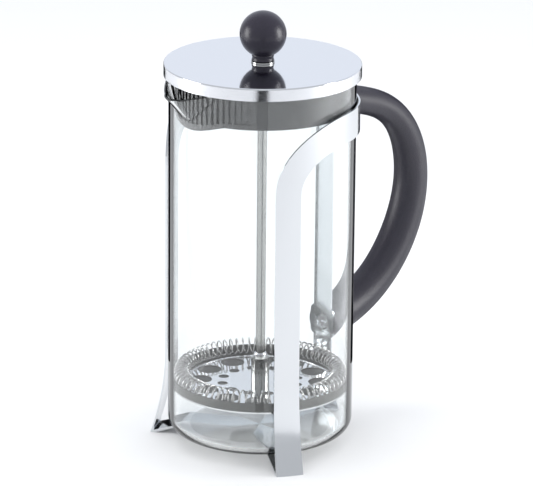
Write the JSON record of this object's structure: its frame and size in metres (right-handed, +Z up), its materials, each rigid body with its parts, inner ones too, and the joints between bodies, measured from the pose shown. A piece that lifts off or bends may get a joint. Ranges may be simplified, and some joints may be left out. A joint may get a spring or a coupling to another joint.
{
  "type": "french press",
  "caption": "French press: glass beaker with spout in a steel strap holder with legs and a plastic handle, steel lid, knob, rod and coil-edged filter plunger.",
  "frame": {"origin": "on the table, on the beaker's axis", "axes": "+Z up along the beaker's axis; +X towards the handle; the spout is at about 170 degrees from +X, seen from above anticlockwise"},
  "size_m": [0.1844, 0.1086, 0.2355],
  "materials": {
    "polished_steel": "polished stainless steel, brushed on the lid's skirt",
    "handle_plastic": "fine-grained dark moulded plastic",
    "screw_steel": "plain stainless",
    "brass_insert": "turned",
    "clear_glass": "clear borosilicate",
    "black_plastic": "glossy dark plastic",
    "knob_plastic": "satin-gloss dark plastic",
    "spring_steel": "bright spring wire",
    "steel_mesh": "fine woven steel screen"
  },
  "bodies": {
    "frame": {"rear_leg_strap": "polished_steel", "left_leg_strap": "polished_steel", "right_leg_strap": "polished_steel", "handle_grip": "handle_plastic", "handle_screws": "screw_steel", "handle_inserts": "brass_insert"},
    "beaker": {"glass_beaker": "clear_glass"},
    "rod_guide": {"rod_bush": "polished_steel"},
    "lid": {"lid_cap": "polished_steel", "lid_liner": "black_plastic", "bush_clip": "screw_steel"},
    "plunger": {"knob_ball": "knob_plastic", "knob_insert": "brass_insert", "knob_collar": "knob_plastic", "plunger_rod": "polished_steel", "rod_lock_nut": "polished_steel", "filter_hub": "polished_steel", "spring_plate": "polished_steel", "coil_spring": "spring_steel", "mesh_screen": "steel_mesh", "cross_plate": "screw_steel", "filter_nut": "screw_steel"}
  },
  "joints": [
    {"name": "beaker_lift", "type": "slide", "parent": "frame", "child": "beaker", "axis": [0, 0, 1], "range_m": [0, 0.19]},
    {"name": "lid_lift", "type": "slide", "parent": "beaker", "child": "rod_guide", "axis": [0, 0, 1], "range_m": [0, 0.185]},
    {"name": "lid_turn", "type": "hinge", "parent": "rod_guide", "child": "lid", "pos_m": [0, 0, 0.2], "axis": [0, 0, 1], "continuous": true},
    {"name": "plunger_slide", "type": "slide", "parent": "rod_guide", "child": "plunger", "axis": [0, 0, 1], "range_m": [0, 0.136]}
  ]
}
